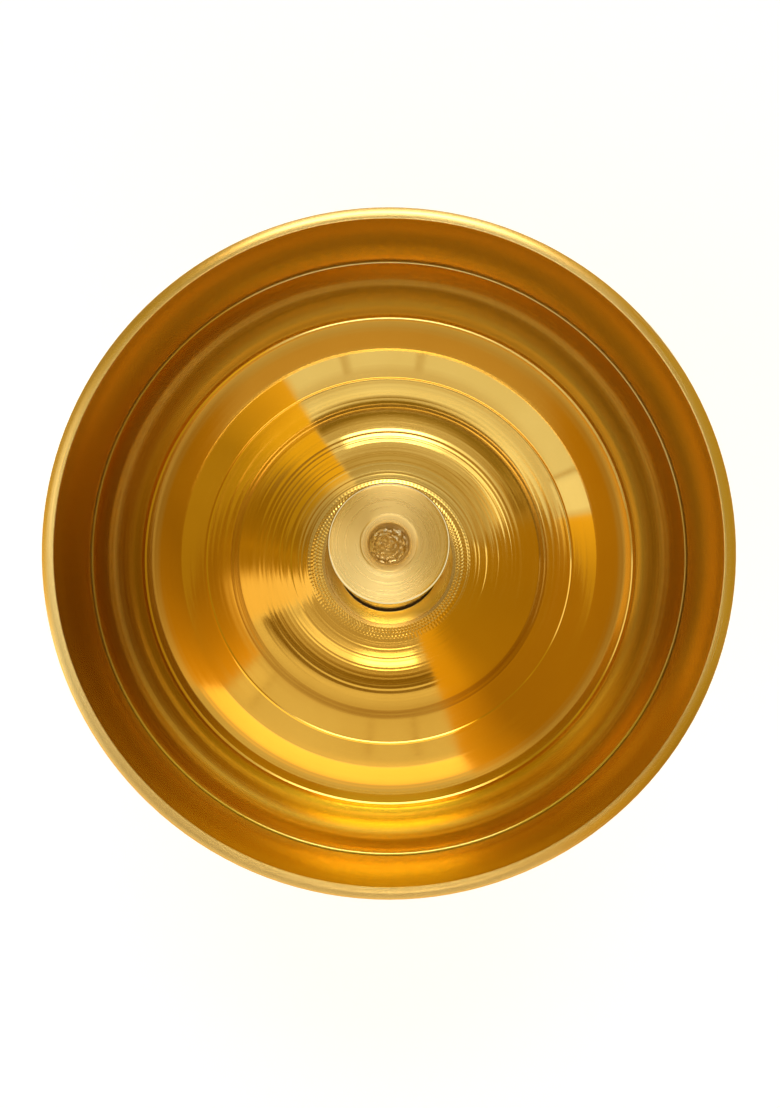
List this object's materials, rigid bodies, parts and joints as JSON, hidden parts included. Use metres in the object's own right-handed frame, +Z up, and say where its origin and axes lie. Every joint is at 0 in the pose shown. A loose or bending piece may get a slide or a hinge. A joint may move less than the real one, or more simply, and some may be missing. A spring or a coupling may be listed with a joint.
{
  "type": "butter lamp",
  "caption": "Small turned brass goblet lamp: a dished cup with a drilled wick pillar, on a knopped stem and a bell foot.",
  "frame": {"origin": "on the table, under the middle of the foot", "axes": "+Z up along the lamp's axis, +Y away from the viewer of the picture"},
  "size_m": [0.07, 0.07, 0.0741],
  "materials": {
    "turned_brass": "bright turned",
    "screw_brass": "satin"
  },
  "bodies": {
    "base": {"foot": "turned_brass", "stem": "turned_brass", "knop": "turned_brass", "tie_rod": "screw_brass", "foot_washer": "screw_brass", "foot_nut": "screw_brass"},
    "ring": {"neck_ring": "turned_brass"},
    "cup": {"bowl": "turned_brass"},
    "collar": {"pillar_collar": "turned_brass"},
    "pillar": {"wick_pillar": "turned_brass"}
  },
  "joints": [
    {"name": "cup_lift", "type": "slide", "parent": "base", "child": "ring", "axis": [0, 0, 1], "range_m": [0, 0.00625]},
    {"name": "cup_unscrew", "type": "hinge", "parent": "ring", "child": "cup", "pos_m": [0, 0, 0.0322], "axis": [0, 0, 1], "range_deg": [0, 1800]},
    {"name": "pillar_lift", "type": "slide", "parent": "cup", "child": "collar", "axis": [0, 0, 1], "range_m": [0, 0.005]},
    {"name": "pillar_unscrew", "type": "hinge", "parent": "collar", "child": "pillar", "pos_m": [0, 0, 0.04685], "axis": [0, 0, 1], "range_deg": [0, 1800]}
  ],
  "couplings": [
    {"joint": "cup_unscrew", "follows": "cup_lift", "rad_per_m": 5026.5},
    {"joint": "pillar_unscrew", "follows": "pillar_lift", "rad_per_m": 6283.2}
  ]
}
